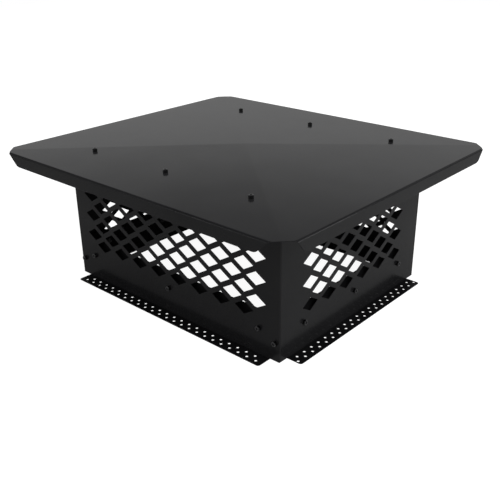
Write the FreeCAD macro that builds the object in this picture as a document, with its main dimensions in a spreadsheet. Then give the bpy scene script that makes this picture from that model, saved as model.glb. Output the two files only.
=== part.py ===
import FreeCAD, Part
import math
import os

import Sketcher

# Chimney cap: a cross-broken sheet steel hood on four screen walls with diamond
# openings, standing on four base angles with perforated flanges.
# X runs along the long walls, Y along the short ones, Z up from the flange underside.

doc = FreeCAD.newDocument("ChimneyCap")
sheet = doc.addObject("Spreadsheet::Sheet", "Sizes")

# Driving dimensions in millimetres
SIZES = {
    "base_length": 406,
    "base_width": 329,
    "thickness": 0.8,
    "bend_inside": 0.8,
    "seat_gap": 0.1,
    "hood_length": 540,
    "hood_width": 481,
    "rim_height": 207.8,
    "peak_rise": 6.3,
    "fascia_drop": 18,
    "fascia_bend": 3.0,
    "corner_clip": 22.6,
    "fascia_end_slant": 19.7,
    "fascia_round": 4.5,
    "top_flange": 17,
    "top_flange_setback": 23,
    "hip_clearance": 1.5,
    "side_tab": 14,
    "opening_width": 32.7,
    "opening_height": 19.5,
    "column_pitch": 40.9,
    "row_pitch": 15.97,
    "first_row_height": 60.5,
    "top_margin": 18,
    "long_margin": 15,
    "short_margin": 30,
    "base_flange": 22.5,
    "base_flange_setback": 16,
    "flange_tip": 2,
    "collar_height": 62.4,
    "crank_height": 44.6,
    "crank_depth": 6,
    "corner_relief": 10.5,
    "perforation": 4.2,
    "outer_row": 14.9,
    "inner_row": 7.1,
    "round_hole": 4,
    "long_perforations": 24,
    "short_perforations": 20,
    "long_row_end": 11,
    "short_row_end": 3.6,
    "wall_screw_height": 39.5,
    "long_screw_inset": 34.5,
    "short_screw_inset": 49.5,
    "corner_screw_height": 27.3,
    "corner_screw_inset": 7.4,
    "hood_screw_end": 12.6,
    "hood_screw_inset": 6.5,
    "screw_size": 4,
    "screw_length": 10,
    "screw_clearance": 1,
    "head_width": 7,
    "head_height": 4,
    "nut_width": 7,
    "nut_height": 3.2,
    "nut_clearance": 0.1,
}

for row, (alias, value) in enumerate(SIZES.items(), start=1):
    sheet.set("A%d" % row, alias)
    sheet.set("B%d" % row, str(value))
    sheet.setAlias("B%d" % row, alias)
doc.recompute()

# Expressions used by more than one piece
THICK = "Sizes.thickness"
HALF_LENGTH = "(Sizes.base_length / 2)"
HALF_WIDTH = "(Sizes.base_width / 2)"
HALF_HOOD_LENGTH = "(Sizes.hood_length / 2)"
HALF_HOOD_WIDTH = "(Sizes.hood_width / 2)"
PEAK = "(Sizes.rim_height + Sizes.peak_rise)"
HOLE_RADIUS = "(Sizes.screw_size + Sizes.screw_clearance) / 2"
# A long screen's top flange ends short of the hood's hip line
LONG_FLANGE_END = "((%s - Sizes.top_flange) * %s / %s - Sizes.hip_clearance)" % (
    HALF_WIDTH, HALF_HOOD_LENGTH, HALF_HOOD_WIDTH
)
HOOD_SCREW_ALONG = "(%s - Sizes.hood_screw_end)" % LONG_FLANGE_END
LONG_SCREW_ALONG = "(%s - Sizes.long_screw_inset)" % HALF_LENGTH
SHORT_SCREW_ALONG = "(%s - Sizes.short_screw_inset)" % HALF_WIDTH
# Length by which a cut runs past the face that it opens
PAST = 5
# Sides of the many small holes and fasteners, whose rounds are cut down to a few flats
HOLE_SIDES = 6
HEAD_SIDES = 8


def size(alias):
    """The value of a driving dimension."""
    return float(sheet.get(alias))


def new_body(label):
    """An empty body whose label names its file."""
    body = doc.addObject("PartDesign::Body", label)
    body.Label = label
    return body


def origin_feature(body, role):
    """One of the body's own origin planes or axes."""
    for feature in body.Origin.OriginFeatures:
        if feature.Role == role:
            return feature
    raise ValueError(role)


def new_sketch(body, name, plane, lift=None):
    """A sketch on an origin plane of the body, raised along the plane's normal."""
    sketch = body.newObject("Sketcher::SketchObject", name)
    sketch.AttachmentSupport = [(origin_feature(body, plane), "")]
    sketch.MapMode = "FlatFace"
    if lift:
        sketch.setExpression("AttachmentOffset.Base.z", lift)
    return sketch


def bind(sketch, constraint, name, expression):
    """Add a dimension and bind it to the sizes."""
    index = sketch.addConstraint(constraint)
    sketch.renameConstraint(index, name)
    sketch.setExpression("Constraints." + name, expression)


def place_point(sketch, shape, point, across, up):
    """Fix a point of the sketch by its two distances from the origin."""
    name = "g%d_p%d" % (shape, point)
    start = sketch.getPoint(shape, point)
    bind(sketch, Sketcher.Constraint("DistanceX", -1, 1, shape, point, start.x), name + "_across", across)
    bind(sketch, Sketcher.Constraint("DistanceY", -1, 1, shape, point, start.y), name + "_up", up)


def draw_outline(sketch, corners):
    """A closed outline of straight lines through corners given as pairs of expressions."""
    first = sketch.GeometryCount
    count = len(corners)
    ring = [math.tau * step / count for step in range(count)]
    start = [FreeCAD.Vector(100 * math.cos(turn), 100 * math.sin(turn), 0) for turn in ring]
    for step in range(count):
        sketch.addGeometry(Part.LineSegment(start[step], start[(step + 1) % count]), False)
    for step in range(count):
        following = first + (step + 1) % count
        sketch.addConstraint(Sketcher.Constraint("Coincident", first + step, 2, following, 1))
    for step, (across, up) in enumerate(corners):
        place_point(sketch, first + step, 1, across, up)


def draw_box(sketch, low, high):
    """A rectangle between two opposite corners."""
    draw_outline(sketch, [low, (high[0], low[1]), high, (low[0], high[1])])


def draw_polygon(sketch, sides, across, up, radius):
    """A regular polygon with a flat side at each end of its width, by its centre and corner radius."""
    corners = []
    for step in range(sides):
        turn = 360 * (step + 0.5) / sides
        corners.append((
            "%s + %s * cos(%s deg)" % (across, radius, turn),
            "%s + %s * sin(%s deg)" % (up, radius, turn),
        ))
    draw_outline(sketch, corners)


def draw_circle(sketch, across, up, radius):
    """A circle whose centre and radius are bound."""
    start = FreeCAD.Vector(10, 10, 0)
    shape = sketch.addGeometry(Part.Circle(start, FreeCAD.Vector(0, 0, 1), 5), False)
    place_point(sketch, shape, 3, across, up)
    bind(sketch, Sketcher.Constraint("Radius", shape, 5), "g%d_radius" % shape, radius)


def add_feature(body, kind, name, profile=None):
    """A feature at the end of the body."""
    feature = body.newObject(kind, name)
    if profile:
        feature.Profile = profile
        profile.Visibility = False
    body.Tip = feature
    return feature


def pad(body, sketch, length, symmetric=False):
    """Material of the given length on a sketch."""
    feature = add_feature(body, "PartDesign::Pad", sketch.Name + "_pad", sketch)
    feature.SideType = "Symmetric" if symmetric else "One side"
    feature.setExpression("Length", length)
    doc.recompute()
    return feature


def cut_through(body, sketch):
    """A cut through the whole body, both ways from the sketch."""
    before = body.Tip.Shape.Volume
    feature = add_feature(body, "PartDesign::Pocket", sketch.Name + "_cut", sketch)
    feature.SideType = "Symmetric"
    feature.Type = "ThroughAll"
    doc.recompute()
    if not feature.Shape.Volume < before:
        raise RuntimeError(sketch.Name + " cuts nothing")
    return feature


def cut_to(body, sketch, length, backwards=False):
    """A cut of the given length on one side of the sketch."""
    before = body.Tip.Shape.Volume
    feature = add_feature(body, "PartDesign::Pocket", sketch.Name + "_cut", sketch)
    feature.Reversed = backwards
    feature.setExpression("Length", length)
    doc.recompute()
    if not feature.Shape.Volume < before:
        raise RuntimeError(sketch.Name + " cuts nothing")
    return feature


def repeat(body, originals, sketch, across=None, up=None):
    """Copies along the sketch's axes; each of across and up is a span and a count."""
    feature = add_feature(body, "PartDesign::LinearPattern", originals[-1].Name + "_row")
    feature.Originals = originals
    first, second = (across, up) if across else (up, None)
    feature.Direction = (sketch, ["H_Axis" if across else "V_Axis"])
    feature.setExpression("Length", first[0])
    feature.setExpression("Occurrences", first[1])
    if second:
        feature.Direction2 = (sketch, ["V_Axis"])
        feature.setExpression("Length2", second[0])
        feature.setExpression("Occurrences2", second[1])
    doc.recompute()
    return feature


def edges_at(shape, spots):
    """Names of the straight edges whose middle lies on a spot; None leaves a coordinate free."""
    names = []
    for number, edge in enumerate(shape.Edges, start=1):
        if edge.Curve.TypeId != "Part::GeomLine":
            continue
        middle = edge.CenterOfMass
        for spot in spots:
            gaps = [abs(here - there) for here, there in zip(middle, spot) if there is not None]
            if max(gaps) < 0.01:
                names.append("Edge%d" % number)
    return names


def round_edges(body, spots, radius, name):
    """Round the straight edges at the spots."""
    base = body.Tip
    names = edges_at(base.Shape, spots)
    if not names:
        raise RuntimeError(name + " finds no edge")
    feature = add_feature(body, "PartDesign::Fillet", name)
    feature.Base = (base, names)
    feature.setExpression("Radius", radius)
    doc.recompute()
    return feature


def opposite(spots):
    """The spots and their mirror images at the other end of X."""
    return spots + [(-spot[0], spot[1], spot[2]) for spot in spots]


def turned(body, degrees):
    """Turn a piece that was drawn as the front one to its own side."""
    body.Placement = FreeCAD.Placement(
        FreeCAD.Vector(0, 0, 0), FreeCAD.Rotation(FreeCAD.Vector(0, 0, 1), degrees)
    )


def hood_form(label, inset, clip):
    """The hood's outside as a solid block, or its inside where inset is the sheet's thickness."""
    body = new_body(label)
    half_length = "(%s - %s)" % (HALF_HOOD_LENGTH, inset)
    half_width = "(%s - %s)" % (HALF_HOOD_WIDTH, inset)
    low = "(Sizes.rim_height - Sizes.fascia_drop - %s)" % inset
    rim = "(Sizes.rim_height - %s)" % inset
    peak = "(%s - %s)" % (PEAK, inset)

    gable = new_sketch(body, label + "_gable", "XZ_Plane")
    draw_outline(gable, [
        ("-" + half_length, low),
        (half_length, low),
        (half_length, rim),
        ("0", peak),
        ("-" + half_length, rim),
    ])
    pad(body, gable, "2 * " + half_width, symmetric=True)

    hips = new_sketch(body, label + "_hips", "YZ_Plane")
    above = "%s + %d" % (PEAK, PAST)
    draw_outline(hips, [
        ("-" + half_width, rim),
        ("0", peak),
        (half_width, rim),
        (half_width, above),
        ("-" + half_width, above),
    ])
    cut_through(body, hips)

    clips = new_sketch(body, label + "_clips", "XY_Plane")
    for x_sign in ("", "-"):
        for y_sign in ("", "-"):
            draw_outline(clips, [
                ("%s(%s - %s - %d)" % (x_sign, half_length, clip, PAST),
                 "%s(%s + %d)" % (y_sign, half_width, PAST)),
                ("%s(%s + %d)" % (x_sign, half_length, PAST),
                 "%s(%s - %s - %d)" % (y_sign, half_width, clip, PAST)),
                ("%s(%s + %d)" % (x_sign, half_length, PAST),
                 "%s(%s + %d)" % (y_sign, half_width, PAST)),
            ])
    cut_through(body, clips)

    gap = size("thickness") if inset == THICK else 0
    end = size("hood_length") / 2 - gap
    side = size("hood_width") / 2 - gap
    rim_at = size("rim_height") - gap
    rim_edges = [(end, 0, rim_at), (-end, 0, rim_at), (0, side, rim_at), (0, -side, rim_at)]
    round_edges(body, rim_edges, "Sizes.fascia_bend - " + inset, label + "_rim_bend")
    return body


def make_hood():
    """Hood: one sheet, cross-broken to a low peak, with four down-turned fascias."""
    body = hood_form("hood", "0", "Sizes.corner_clip")
    inside = hood_form("hood_inside", THICK, "(Sizes.corner_clip - %d)" % PAST)
    shell = body.newObject("PartDesign::Boolean", "hood_shell")
    shell.Type = "Cut"
    shell.addObject(inside)
    body.Tip = shell
    doc.recompute()

    slant_fascia_ends(body, "XZ_Plane", HALF_HOOD_LENGTH, HALF_HOOD_WIDTH)
    slant_fascia_ends(body, "YZ_Plane", HALF_HOOD_WIDTH, HALF_HOOD_LENGTH)

    end = size("hood_length") / 2
    side = size("hood_width") / 2
    corner_x = end - size("corner_clip") - size("fascia_end_slant")
    corner_y = side - size("corner_clip") - size("fascia_end_slant")
    inward = size("thickness") / 2
    foot = size("rim_height") - size("fascia_drop")
    corners = []
    for sign in (1, -1):
        corners += opposite([(corner_x, sign * (side - inward), foot)])
        corners += opposite([(end - inward, sign * corner_y, foot)])
    round_edges(body, corners, "Sizes.fascia_round", "hood_fascia_corners")

    holes = new_sketch(body, "hood_screw_holes", "XY_Plane")
    draw_polygon(holes, HOLE_SIDES, "-" + HOOD_SCREW_ALONG,
                 "-(%s - Sizes.hood_screw_inset)" % HALF_WIDTH, HOLE_RADIUS)
    first_hole = cut_through(body, holes)
    repeat(body, [first_hole], holes, ("2 * " + HOOD_SCREW_ALONG, "3"),
           ("2 * (%s - Sizes.hood_screw_inset)" % HALF_WIDTH, "2"))
    return body


def slant_fascia_ends(body, plane, along, out):
    """Cut the ends of two opposite fascias back towards their lower edge."""
    rim = "Sizes.rim_height"
    low = "(Sizes.rim_height - Sizes.fascia_drop)"
    top_end = "(%s - Sizes.corner_clip)" % along
    foot_end = "(%s - Sizes.corner_clip - Sizes.fascia_end_slant)" % along
    depth = "Sizes.fascia_bend + %d" % PAST
    for place, lift in (("near", "%s + %d" % (out, PAST)), ("far", "-(%s + %d)" % (out, PAST))):
        sketch = new_sketch(body, "fascia_ends_%s_%s" % (plane[:2], place), plane, lift)
        for sign in ("", "-"):
            draw_outline(sketch, [
                (sign + top_end, rim),
                (sign + foot_end, low),
                (sign + foot_end, "%s - %d" % (low, PAST)),
                ("%s(%s + %d)" % (sign, top_end, PAST), "%s - %d" % (low, PAST)),
                ("%s(%s + %d)" % (sign, top_end, PAST), rim),
            ])
        cut_to(body, sketch, depth, backwards=(place == "far"))


def screen_top(out, hood_reach):
    """Height of a screen's upper edge under the sloping hood."""
    return "(Sizes.rim_height + Sizes.peak_rise * (1 - %s / %s) - %s - Sizes.seat_gap)" % (
        out, hood_reach, THICK
    )


def make_screen(label, degrees, out, along, hood_reach, long_wall):
    """Screen wall: a sheet with diamond openings and a top flange turned in under the hood."""
    body = new_body(label)
    top = screen_top(out, hood_reach)
    reach = along if long_wall else "(%s - %s)" % (along, THICK)
    slope = "Sizes.peak_rise / %s" % hood_reach
    flange_in = "-(%s - Sizes.top_flange)" % out
    flange_top = "%s + Sizes.top_flange * %s" % (top, slope)

    profile = new_sketch(body, label + "_profile", "YZ_Plane")
    draw_outline(profile, [
        ("-" + out, THICK),
        ("-" + out, top),
        (flange_in, flange_top),
        (flange_in, "%s - %s" % (flange_top, THICK)),
        ("-(%s - %s)" % (out, THICK), "%s - %s * (1 - %s)" % (top, THICK, slope)),
        ("-(%s - %s)" % (out, THICK), THICK),
    ])
    pad(body, profile, "2 * " + reach, symmetric=True)

    out_at = size("base_width" if long_wall else "base_length") / 2
    thick = size("thickness")
    hood_at = size("hood_width" if long_wall else "hood_length") / 2
    slope_at = size("peak_rise") / hood_at
    top_at = size("rim_height") + size("peak_rise") - slope_at * out_at - thick - size("seat_gap")
    round_edges(body, [(0, -out_at, top_at)],
                "Sizes.bend_inside + " + THICK, label + "_bend_outside")
    inside_top = top_at - thick * (1 - slope_at)
    round_edges(body, [(0, -(out_at - thick), inside_top)], "Sizes.bend_inside", label + "_bend_inside")

    notch_foot = "(%s - %s - Sizes.bend_inside)" % (top, THICK)
    notch = new_sketch(body, label + "_notch", "XZ_Plane")
    flange_end = LONG_FLANGE_END if long_wall else "(%s - Sizes.top_flange_setback)" % along
    for sign in ("", "-"):
        draw_box(notch, (sign + flange_end, notch_foot),
                 ("%s(%s + %d)" % (sign, reach, PAST), "%s + %d" % (flange_top, PAST)))
    cut_through(body, notch)
    if not long_wall:
        add_side_tabs(body, label, out, reach, notch_foot)

    cut_openings(body, label, long_wall)
    cut_screen_holes(body, label, long_wall, out, along)
    turned(body, degrees)
    return body


def add_side_tabs(body, label, out, reach, top):
    """Tabs at both ends of a short screen, folded in behind the long screens."""
    tabs = new_sketch(body, label + "_tabs", "XY_Plane", THICK)
    for sign in ("", "-"):
        draw_box(tabs, ("%s(%s - %s)" % (sign, reach, THICK), "-" + out),
                 (sign + reach, "-(%s - Sizes.side_tab)" % out))
    pad(body, tabs, "%s - %s" % (top, THICK))

    out_at = size("base_length") / 2
    thick = size("thickness")
    end_at = size("base_width") / 2 - thick
    round_edges(body, opposite([(end_at, -out_at, None)]),
                "Sizes.bend_inside + " + THICK, label + "_corner_outside")
    round_edges(body, opposite([(end_at - thick, -(out_at - thick), None)]),
                "Sizes.bend_inside", label + "_corner_inside")


def cut_openings(body, label, long_wall):
    """Diamond openings in staggered rows: every other row has one column fewer."""
    run = "Sizes.base_length - 2 * Sizes.long_margin"
    if not long_wall:
        run = "Sizes.base_width - 2 * Sizes.short_margin"
    columns = "floor((%s) / Sizes.column_pitch)" % run
    full_row_up = "Sizes.row_pitch" if long_wall else "0"
    part_row_up = "0" if long_wall else "Sizes.row_pitch"
    free_height = "(Sizes.rim_height - Sizes.top_margin - Sizes.first_row_height)"
    row_pairs = "floor(%s / (2 * Sizes.row_pitch))" % free_height
    rows = ("2 * Sizes.row_pitch * (%s - 1)" % row_pairs, row_pairs)
    for name, count, lift in (
        ("full", columns, full_row_up),
        ("part", "(%s - 1)" % columns, part_row_up),
    ):
        sketch = new_sketch(body, "%s_%s_rows" % (label, name), "XZ_Plane")
        across = "-Sizes.column_pitch * (%s - 1) / 2" % count
        up = "Sizes.first_row_height + %s" % lift
        draw_outline(sketch, [
            ("%s - Sizes.opening_width / 2" % across, up),
            (across, "%s - Sizes.opening_height / 2" % up),
            ("%s + Sizes.opening_width / 2" % across, up),
            (across, "%s + Sizes.opening_height / 2" % up),
        ])
        opening = cut_through(body, sketch)
        repeat(body, [opening], sketch, ("Sizes.column_pitch * (%s - 1)" % count, count), rows)


def cut_screen_holes(body, label, long_wall, out, along):
    """Screw holes of a screen: at its foot, at its corners and, on a long wall, in its top flange."""
    cut_wall_holes(body, label, long_wall, along)
    if long_wall:
        sketch = new_sketch(body, label + "_hood_holes", "XY_Plane")
        for across in ("-" + HOOD_SCREW_ALONG, "0", HOOD_SCREW_ALONG):
            draw_polygon(sketch, HOLE_SIDES, across,
                         "-(%s - Sizes.hood_screw_inset)" % out, HOLE_RADIUS)
        cut_through(body, sketch)
    else:
        cut_tab_holes(body, label, out)


def cut_wall_holes(body, label, long_wall, along):
    """Holes through a wall for the screws at its foot, and for the corner screws of a long wall."""
    spread = LONG_SCREW_ALONG if long_wall else SHORT_SCREW_ALONG
    sketch = new_sketch(body, label + "_foot_holes", "XZ_Plane")
    for across in ("-" + spread, "0", spread):
        draw_polygon(sketch, HOLE_SIDES, across, "Sizes.wall_screw_height", HOLE_RADIUS)
    if long_wall:
        for sign in ("", "-"):
            draw_polygon(sketch, HOLE_SIDES, "%s(%s - Sizes.corner_screw_inset)" % (sign, along),
                         "Sizes.corner_screw_height", HOLE_RADIUS)
    cut_through(body, sketch)


def cut_tab_holes(body, label, out):
    """Corner screw holes through the tabs at both ends of a short screen."""
    sketch = new_sketch(body, label + "_tab_holes", "YZ_Plane")
    draw_polygon(sketch, HOLE_SIDES, "-(%s - Sizes.corner_screw_inset)" % out,
                 "Sizes.corner_screw_height", HOLE_RADIUS)
    cut_through(body, sketch)


def make_base_angle(label, degrees, out, along, long_wall):
    """Base angle: a perforated flange and an upright leg whose upper edge is cranked inward."""
    body = new_body(label)
    leg_out = "(%s - 2 * %s)" % (out, THICK)
    leg_in = "(%s - 3 * %s)" % (out, THICK)
    crank_top = "(Sizes.crank_height + Sizes.crank_depth)"
    fold = "(%s * tan(22.5 deg))" % THICK
    layers = 2 if long_wall else 3
    leg_end = "(%s - %d * %s)" % (along, layers, THICK)

    profile = new_sketch(body, label + "_profile", "YZ_Plane")
    draw_outline(profile, [
        ("-(%s + Sizes.base_flange)" % out, "0"),
        ("-(%s + Sizes.base_flange)" % out, THICK),
        ("-" + leg_out, THICK),
        ("-" + leg_out, "Sizes.crank_height"),
        ("-(%s - Sizes.crank_depth)" % leg_out, crank_top),
        ("-(%s - Sizes.crank_depth)" % leg_out, "Sizes.collar_height"),
        ("-(%s - Sizes.crank_depth)" % leg_in, "Sizes.collar_height"),
        ("-(%s - Sizes.crank_depth)" % leg_in, "%s - %s" % (crank_top, fold)),
        ("-" + leg_in, "Sizes.crank_height - " + fold),
        ("-" + leg_in, "0"),
    ])
    pad(body, profile, "2 * " + leg_end, symmetric=True)

    out_at = size("base_width" if long_wall else "base_length") / 2
    thick = size("thickness")
    round_edges(body, [(0, -(out_at - 3 * thick), 0)],
                "Sizes.bend_inside + " + THICK, label + "_bend_outside")
    round_edges(body, [(0, -(out_at - 2 * thick), thick)],
                "Sizes.bend_inside", label + "_bend_inside")

    ends = new_sketch(body, label + "_ends", "XY_Plane")
    flange_end = "(%s - Sizes.base_flange_setback)" % along
    lip = "(%s + Sizes.base_flange)" % out
    for sign in ("", "-"):
        draw_outline(ends, [
            (sign + flange_end, "-" + leg_out),
            (sign + flange_end, "-(%s - Sizes.flange_tip)" % lip),
            ("%s(%s - Sizes.flange_tip)" % (sign, flange_end), "-" + lip),
            ("%s(%s - Sizes.flange_tip)" % (sign, flange_end), "-(%s + %d)" % (lip, PAST)),
            ("%s(%s + %d)" % (sign, leg_end, PAST), "-(%s + %d)" % (lip, PAST)),
            ("%s(%s + %d)" % (sign, leg_end, PAST), "-" + leg_out),
        ])
    cut_through(body, ends)

    relief = new_sketch(body, label + "_relief", "XZ_Plane")
    for sign in ("", "-"):
        draw_box(relief, ("%s(%s - Sizes.corner_relief)" % (sign, along), "Sizes.crank_height - " + fold),
                 ("%s(%s + %d)" % (sign, along, PAST), "Sizes.collar_height + %d" % PAST))
    cut_through(body, relief)

    cut_wall_holes(body, label, long_wall, along)
    perforate(body, label, out, along, long_wall)
    turned(body, degrees)
    return body


def perforate(body, label, out, along, long_wall):
    """Two staggered rows of holes; the end holes of a long outer row are round and true to size."""
    count = "Sizes.long_perforations" if long_wall else "Sizes.short_perforations"
    row_end = "Sizes.long_row_end" if long_wall else "Sizes.short_row_end"
    half_row = "(%s - Sizes.base_flange_setback - %s)" % (along, row_end)
    pitch = "(2 * %s / (%s - 1))" % (half_row, count)
    outer_out = "-(%s + Sizes.outer_row)" % out
    inner_out = "-(%s + Sizes.inner_row)" % out
    if long_wall:
        ends = new_sketch(body, label + "_end_holes", "XY_Plane")
        for sign in ("", "-"):
            draw_circle(ends, sign + half_row, outer_out, "Sizes.round_hole / 2")
        cut_through(body, ends)
        outer = (outer_out, "(%s - %s)" % (half_row, pitch), "(%s - 2)" % count)
    else:
        outer = (outer_out, half_row, count)
    inner = (inner_out, "(%s - %s / 2)" % (half_row, pitch), "(%s - 1)" % count)
    for name, (row_out, half_span, holes) in (("outer", outer), ("inner", inner)):
        sketch = new_sketch(body, "%s_%s_row" % (label, name), "XY_Plane")
        draw_polygon(sketch, HOLE_SIDES, "-" + half_span, row_out, "Sizes.perforation / 2")
        hole = cut_through(body, sketch)
        repeat(body, [hole], sketch, ("2 * " + half_span, holes))


def repeat_fastener(body, features, sketch, half_x, count_x, half_y):
    """Copies of a fastener in a row along X, or in two rows where half_y is given."""
    body.AllowCompound = True
    up = ("2 * " + half_y, "2") if half_y else None
    return repeat(body, features, sketch, ("2 * " + half_x, count_x), up)


def make_screws(label, half_x, count_x, half_y=None):
    """Cap screws standing along Z, with their heads' undersides at Z = 0."""
    body = new_body(label)
    left = "-" + half_x
    front = "-" + half_y if half_y else "0"

    shank = new_sketch(body, label + "_shank", "XY_Plane")
    draw_polygon(shank, HOLE_SIDES, left, front, "Sizes.screw_size / 2")
    shank_pad = pad(body, shank, "Sizes.screw_length")
    shank_pad.Reversed = True

    head = new_sketch(body, label + "_head", "XY_Plane")
    draw_polygon(head, HEAD_SIDES, left, front, "Sizes.head_width / 2")
    head_pad = pad(body, head, "Sizes.head_height")

    repeat_fastener(body, [shank_pad, head_pad], shank, half_x, count_x, half_y)
    return body


def make_nuts(label, grip, half_x, count_x, half_y=None):
    """Hexagon nuts for the screws, below the sheets that they grip."""
    body = new_body(label)
    left = "-" + half_x
    front = "-" + half_y if half_y else "0"

    blank = new_sketch(body, label + "_blank", "XY_Plane", "-(%s + Sizes.nut_height)" % grip)
    draw_polygon(blank, HOLE_SIDES, left, front, "Sizes.nut_width / sqrt(3)")
    blank_pad = pad(body, blank, "Sizes.nut_height")

    bore = new_sketch(body, label + "_bore", "XY_Plane")
    draw_polygon(bore, HOLE_SIDES, left, front, "(Sizes.screw_size / 2 + Sizes.nut_clearance)")
    bore_cut = cut_through(body, bore)

    repeat_fastener(body, [blank_pad, bore_cut], blank, half_x, count_x, half_y)
    return body


def seat(body, across, along, up, degrees=None):
    """Move fasteners to their seat; degrees turns them to face out of a wall."""
    if degrees is not None:
        tip = FreeCAD.Rotation(FreeCAD.Vector(1, 0, 0), 90)
        turn = FreeCAD.Rotation(FreeCAD.Vector(0, 0, 1), degrees)
        body.Placement = FreeCAD.Placement(FreeCAD.Vector(0, 0, 0), turn * tip)
    body.setExpression("Placement.Base.x", across)
    body.setExpression("Placement.Base.y", along)
    body.setExpression("Placement.Base.z", up)


# Each wall: name, turn from the front, and where its outer face stands
WALLS = (
    ("front", 0, "0", "-" + HALF_WIDTH, True),
    ("right", 90, HALF_LENGTH, "0", False),
    ("back", 180, "0", HALF_WIDTH, True),
    ("left", 270, "-" + HALF_LENGTH, "0", False),
)

pieces = [make_hood()]

for name, degrees, across, along, long_wall in WALLS:
    if long_wall:
        out, half, hood_reach = HALF_WIDTH, HALF_LENGTH, HALF_HOOD_WIDTH
        foot_spread = LONG_SCREW_ALONG
    else:
        out, half, hood_reach = HALF_LENGTH, HALF_WIDTH, HALF_HOOD_LENGTH
        foot_spread = SHORT_SCREW_ALONG
    pieces.append(make_screen(name + "_screen", degrees, out, half, hood_reach, long_wall))
    pieces.append(make_base_angle(name + "_base_angle", degrees, out, half, long_wall))

    foot_screws = make_screws(name + "_wall_screws", foot_spread, "3")
    foot_nuts = make_nuts(name + "_wall_nuts", "3 * " + THICK, foot_spread, "3")
    for fasteners in (foot_screws, foot_nuts):
        seat(fasteners, across, along, "Sizes.wall_screw_height", degrees)
        pieces.append(fasteners)

    if long_wall:
        corner_spread = "(%s - Sizes.corner_screw_inset)" % half
        corner_screws = make_screws(name + "_corner_screws", corner_spread, "2")
        corner_nuts = make_nuts(name + "_corner_nuts", "3 * " + THICK, corner_spread, "2")
        for fasteners in (corner_screws, corner_nuts):
            seat(fasteners, across, along, "Sizes.corner_screw_height", degrees)
            pieces.append(fasteners)

hood_screw_out = "(%s - Sizes.hood_screw_inset)" % HALF_WIDTH
# The head rests on the higher, inner side of its seat and the nut on the lower, outer side
head_seat = "(%s - Sizes.peak_rise * (%s - Sizes.head_width / 2) / %s)" % (
    PEAK, hood_screw_out, HALF_HOOD_WIDTH
)
nut_reach = "(Sizes.head_width / 2 + Sizes.nut_width / sqrt(3))"
hood_grip = "(2 * %s + Sizes.seat_gap + Sizes.peak_rise * %s / %s)" % (
    THICK, nut_reach, HALF_HOOD_WIDTH
)
hood_screws = make_screws("hood_screws", HOOD_SCREW_ALONG, "3", hood_screw_out)
hood_nuts = make_nuts("hood_nuts", hood_grip, HOOD_SCREW_ALONG, "3", hood_screw_out)
for fasteners in (hood_screws, hood_nuts):
    seat(fasteners, "0", "0", head_seat)
    pieces.append(fasteners)

doc.recompute()

for item in doc.Objects:
    if "Invalid" in item.State or "Error" in item.State:
        raise RuntimeError("%s failed: %s" % (item.Name, item.State))
for piece in pieces:
    if piece.Shape.isNull() or not piece.Shape.isValid():
        raise RuntimeError(piece.Label + " has no valid shape")

os.makedirs("parts", exist_ok=True)
for piece in pieces:
    piece.Shape.exportStep("parts/%s.step" % piece.Label)
    print(piece.Label, len(piece.Shape.Solids), round(piece.Shape.Volume, 1))
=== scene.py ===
import math

import bmesh
import bpy
from mathutils import Matrix, Vector


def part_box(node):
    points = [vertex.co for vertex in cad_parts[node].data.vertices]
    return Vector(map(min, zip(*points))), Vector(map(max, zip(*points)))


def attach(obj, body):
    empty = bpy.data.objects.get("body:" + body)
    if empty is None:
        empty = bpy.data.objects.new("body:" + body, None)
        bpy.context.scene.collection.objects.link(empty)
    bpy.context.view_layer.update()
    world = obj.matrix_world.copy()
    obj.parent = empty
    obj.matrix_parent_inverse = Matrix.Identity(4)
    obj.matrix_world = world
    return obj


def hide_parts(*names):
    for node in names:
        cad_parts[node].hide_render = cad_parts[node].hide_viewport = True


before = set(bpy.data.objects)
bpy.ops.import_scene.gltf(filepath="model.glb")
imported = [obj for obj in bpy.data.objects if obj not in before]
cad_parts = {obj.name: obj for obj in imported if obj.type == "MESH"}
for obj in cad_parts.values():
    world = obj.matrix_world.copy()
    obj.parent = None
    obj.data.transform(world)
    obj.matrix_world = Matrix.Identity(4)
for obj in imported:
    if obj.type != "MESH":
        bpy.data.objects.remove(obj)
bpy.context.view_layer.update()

# Looks of the chimney cap. Every sheet is laid out flat and pierced, then folded along its
# bends, all in millimetres, and is last set in its place in the frame, in metres.

MM = 0.001


def corner_mm(node, which):
    """The lowest (0) or highest (1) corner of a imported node, in millimetres."""
    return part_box(node)[which] / MM


# Sizes read from the frame
HALF_LENGTH = corner_mm("front_screen", 1).x
HALF_WIDTH = -corner_mm("front_screen", 0).y
HOOD_HALF_LENGTH = corner_mm("hood", 1).x
HOOD_HALF_WIDTH = corner_mm("hood", 1).y
PEAK = corner_mm("hood", 1).z
HOOD_LOW = corner_mm("hood", 0).z
COLLAR_TOP = corner_mm("front_base_angle", 1).z
BASE_FLANGE = -corner_mm("front_base_angle", 0).y - HALF_WIDTH

# All sheets: thickness, bends, the bevel along their edges, and the gap between seated ones
THICK = 0.8
BEND_INSIDE = 0.8
BEND_OUTSIDE = BEND_INSIDE + THICK
EDGE_BEVEL = 0.12
SEAT_GAP = 0.1
# A wall, a side tab and an upright leg, one behind the other at a wall's foot
STACK = 3 * THICK
# Flat steps that stand for a bend, and for the round of a corner
FOLD_STEPS = 6
CORNER_STEPS = 6
# How near points are joined, how exact cuts are and, in metres, the shortest edge that is kept
JOIN_WITHIN = 0.001
CUT_WITHIN = 0.0001
SHORTEST_EDGE = 1e-7
# Edges blunter than this many degrees are shaded smooth, and large faces stay flat beside them
SHEET_SMOOTH_BELOW = 28
FASTENER_SMOOTH_BELOW = 30
LARGE_FACE_WEIGHT = 90

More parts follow.
